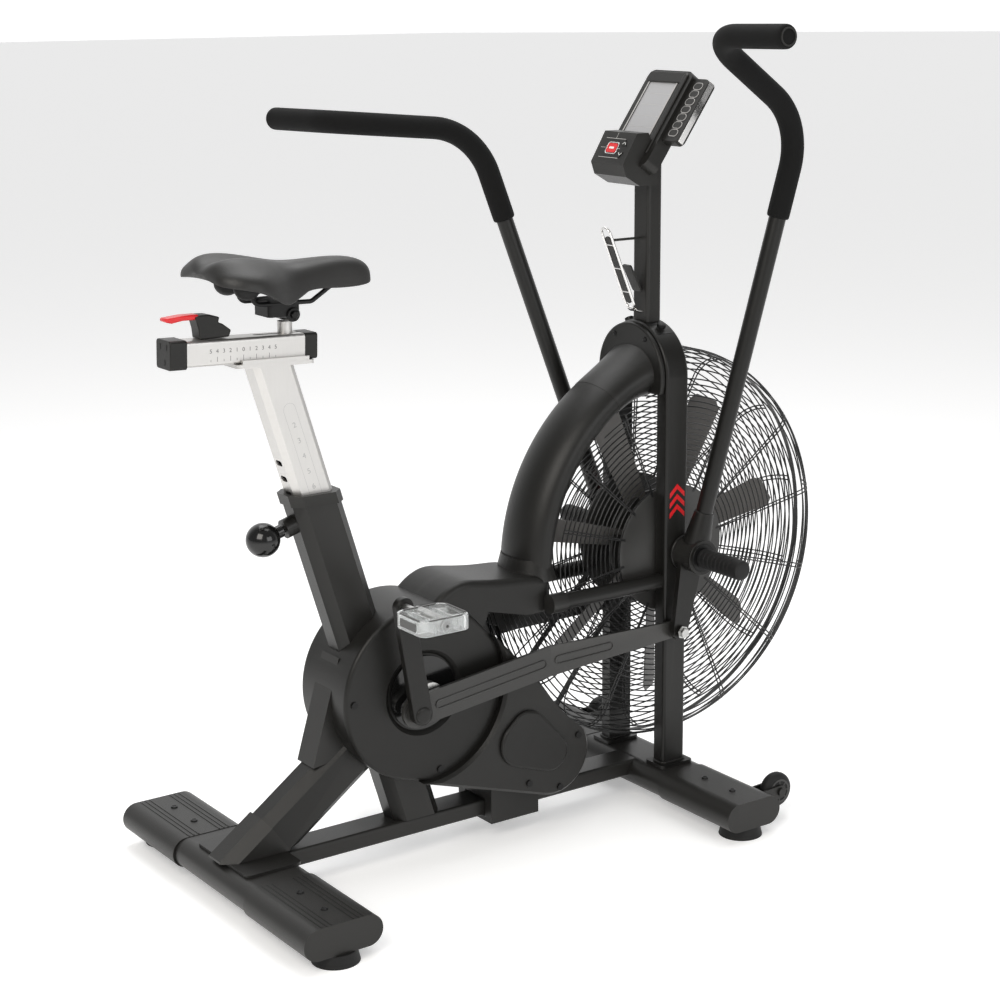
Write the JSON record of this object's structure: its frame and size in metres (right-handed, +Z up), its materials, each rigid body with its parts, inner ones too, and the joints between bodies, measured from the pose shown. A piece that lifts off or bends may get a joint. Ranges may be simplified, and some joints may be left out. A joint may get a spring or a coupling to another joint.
{
  "type": "air bike",
  "caption": "Fan-braked exercise bike: leaning seat post with saddle, covered crank drive, caged fan on a fork, swinging handles with flat connecting rods, and a tilted console.",
  "frame": {"origin": "on the floor, under the middle of the bounding box", "axes": "+X forward towards the fan, +Y to the rider's left, +Z up"},
  "size_m": [1.2236, 0.8126, 1.3076],
  "materials": {
    "frame_paint": "satin powder coat",
    "wire_paint": "satin black wire",
    "rod_paint": "satin grey paint",
    "steel": "zinc plated",
    "aluminium": "satin anodised",
    "fan_metal": "painted satin black",
    "pulley_metal": "matt black",
    "rubber": "matt",
    "wheel_rubber": "satin moulded",
    "foam": "matt foam",
    "saddle_cover": "grained synthetic leather",
    "clear_plastic": "milky clear",
    "red_plastic": "satin red",
    "gloss_black": "polished",
    "screen": "matt display window",
    "key_white": "satin",
    "key_grey": "satin",
    "cover_plastic": "textured moulding"
  },
  "bodies": {
    "root": {"base_rail": "frame_paint", "bearing_plates": "steel", "bottle_bracket": "aluminium", "brace_cover": "cover_plastic", "cage_rim": "wire_paint", "cage_sides": "wire_paint", "console_body": "cover_plastic", "console_screen": "screen", "cover_screws": "steel", "drive_belts": "rubber", "fan_axle": "steel", "foot_pegs": "frame_paint", "fork": "frame_paint", "front_stabiliser": "frame_paint", "left_cover": "cover_plastic", "mast": "frame_paint", "post_bushing": "cover_plastic", "rear_brace": "frame_paint", "rear_stabiliser": "frame_paint", "right_cover": "cover_plastic", "rubber_feet": "rubber", "seat_tube": "frame_paint", "shaft_bearings": "steel", "shroud": "cover_plastic", "side_tubes": "frame_paint", "stabiliser_end_covers": "cover_plastic", "wheel_brackets": "frame_paint"},
    "crank": {"crank_axle": "steel", "crank_pulley": "pulley_metal", "crank_arms": "frame_paint", "crank_discs": "gloss_black", "pedal_spindles": "steel"},
    "right_pedal": {"right_pedal": "clear_plastic"},
    "left_pedal": {"left_pedal": "clear_plastic"},
    "right_conrod": {"right_conrod": "rod_paint"},
    "left_conrod": {"left_conrod": "rod_paint"},
    "jackshaft": {"jackshaft": "pulley_metal"},
    "fan": {"fan_wheel": "fan_metal"},
    "right_handle": {"right_handle": "frame_paint", "right_grip": "foam"},
    "left_handle": {"left_handle": "frame_paint", "left_grip": "foam"},
    "seat_post": {"seat_post": "aluminium"},
    "seat_slider": {"slider_bar": "aluminium"},
    "release_lever": {"release_lever": "red_plastic"},
    "saddle": {"saddle_clamp": "steel", "saddle": "saddle_cover"},
    "pull_knob": {"pull_knob": "cover_plastic"},
    "right_wheel": {"right_transport_wheel": "wheel_rubber"},
    "left_wheel": {"left_transport_wheel": "wheel_rubber"},
    "start_key": {"start_key": "red_plastic"},
    "up_key": {"up_key": "key_white"},
    "down_key": {"down_key": "key_white"},
    "wing_key_1": {"wing_key_1": "key_grey"},
    "wing_key_2": {"wing_key_2": "key_grey"},
    "wing_key_3": {"wing_key_3": "key_grey"},
    "wing_key_4": {"wing_key_4": "key_grey"},
    "wing_key_5": {"wing_key_5": "key_grey"},
    "wing_key_6": {"wing_key_6": "key_grey"},
    "wing_key_7": {"wing_key_7": "key_grey"}
  },
  "joints": [
    {"name": "crank_spin", "type": "hinge", "parent": "root", "child": "crank", "pos_m": [-0.22722, 0, 0.289], "axis": [0, 1, 0], "continuous": true},
    {"name": "right_pedal_spin", "type": "hinge", "parent": "crank", "child": "right_pedal", "pos_m": [-0.28886, -0.192, 0.44958], "axis": [0, 1, 0], "continuous": true},
    {"name": "left_pedal_spin", "type": "hinge", "parent": "crank", "child": "left_pedal", "pos_m": [-0.16558, 0.192, 0.12842], "axis": [0, 1, 0], "continuous": true},
    {"name": "right_conrod_spin", "type": "hinge", "parent": "crank", "child": "right_conrod", "pos_m": [-0.25901, -0.095, 0.2721], "axis": [0, 1, 0], "continuous": true},
    {"name": "left_conrod_spin", "type": "hinge", "parent": "crank", "child": "left_conrod", "pos_m": [-0.19543, 0.095, 0.3059], "axis": [0, 1, 0], "continuous": true},
    {"name": "jackshaft_spin", "type": "hinge", "parent": "root", "child": "jackshaft", "pos_m": [0.01378, 0, 0.138], "axis": [0, 1, 0], "continuous": true},
    {"name": "fan_spin", "type": "hinge", "parent": "root", "child": "fan", "pos_m": [0.27678, 0, 0.44], "axis": [0, 1, 0], "continuous": true},
    {"name": "right_handle_swing", "type": "hinge", "parent": "root", "child": "right_handle", "pos_m": [0.27678, -0.115, 0.44], "axis": [0, 1, 0], "range_deg": [-29, 1]},
    {"name": "left_handle_swing", "type": "hinge", "parent": "root", "child": "left_handle", "pos_m": [0.27678, 0.115, 0.44], "axis": [0, 1, 0], "range_deg": [-1, 29]},
    {"name": "seat_height", "type": "slide", "parent": "root", "child": "seat_post", "axis": [-0.2932, 0, 0.956], "range_m": [-0.15, 0.06]},
    {"name": "seat_fore_aft", "type": "slide", "parent": "seat_post", "child": "seat_slider", "axis": [0.9994, 0, -0.0349], "range_m": [-0.05, 0.05]},
    {"name": "saddle_tilt", "type": "hinge", "parent": "seat_slider", "child": "saddle", "pos_m": [-0.41422, 0, 0.896], "axis": [0, 1, 0], "range_deg": [-8, 8]},
    {"name": "release_lever_turn", "type": "hinge", "parent": "seat_slider", "child": "release_lever", "pos_m": [-0.53222, 0, 0.885], "axis": [0, 0, 1], "range_deg": [-70, 70]},
    {"name": "pull_knob_slide", "type": "slide", "parent": "root", "child": "pull_knob", "axis": [-0.956, 0, -0.2932], "range_m": [0, 0.012], "stiffness_N_per_m": 1500},
    {"name": "right_wheel_spin", "type": "hinge", "parent": "root", "child": "right_wheel", "pos_m": [0.35678, -0.24, 0.047], "axis": [0, 1, 0], "continuous": true},
    {"name": "left_wheel_spin", "type": "hinge", "parent": "root", "child": "left_wheel", "pos_m": [0.35678, 0.24, 0.047], "axis": [0, 1, 0], "continuous": true},
    {"name": "start_key_press", "type": "slide", "parent": "root", "child": "start_key", "axis": [0.8559, 0, -0.5171], "range_m": [0, 0.0012], "stiffness_N_per_m": 400},
    {"name": "up_key_press", "type": "slide", "parent": "root", "child": "up_key", "axis": [0.8559, 0, -0.5171], "range_m": [0, 0.0012], "stiffness_N_per_m": 400},
    {"name": "down_key_press", "type": "slide", "parent": "root", "child": "down_key", "axis": [0.8559, 0, -0.5171], "range_m": [0, 0.0012], "stiffness_N_per_m": 400},
    {"name": "wing_key_1_press", "type": "slide", "parent": "root", "child": "wing_key_1", "axis": [0.8159, 0, -0.5782], "range_m": [0, 0.0012], "stiffness_N_per_m": 400},
    {"name": "wing_key_2_press", "type": "slide", "parent": "root", "child": "wing_key_2", "axis": [0.8159, 0, -0.5782], "range_m": [0, 0.0012], "stiffness_N_per_m": 400},
    {"name": "wing_key_3_press", "type": "slide", "parent": "root", "child": "wing_key_3", "axis": [0.8159, 0, -0.5782], "range_m": [0, 0.0012], "stiffness_N_per_m": 400},
    {"name": "wing_key_4_press", "type": "slide", "parent": "root", "child": "wing_key_4", "axis": [0.8159, 0, -0.5782], "range_m": [0, 0.0012], "stiffness_N_per_m": 400},
    {"name": "wing_key_5_press", "type": "slide", "parent": "root", "child": "wing_key_5", "axis": [0.8159, 0, -0.5782], "range_m": [0, 0.0012], "stiffness_N_per_m": 400},
    {"name": "wing_key_6_press", "type": "slide", "parent": "root", "child": "wing_key_6", "axis": [0.8159, 0, -0.5782], "range_m": [0, 0.0012], "stiffness_N_per_m": 400},
    {"name": "wing_key_7_press", "type": "slide", "parent": "root", "child": "wing_key_7", "axis": [0.8159, 0, -0.5782], "range_m": [0, 0.0012], "stiffness_N_per_m": 400}
  ],
  "couplings": [
    {"joint": "right_conrod_spin", "follows": "crank_spin", "ratio": -1},
    {"joint": "left_conrod_spin", "follows": "crank_spin", "ratio": -1},
    {"joint": "jackshaft_spin", "follows": "crank_spin", "ratio": 5},
    {"joint": "fan_spin", "follows": "crank_spin", "ratio": 8},
    {"joint": "left_handle_swing", "follows": "right_handle_swing", "ratio": -1}
  ]
}
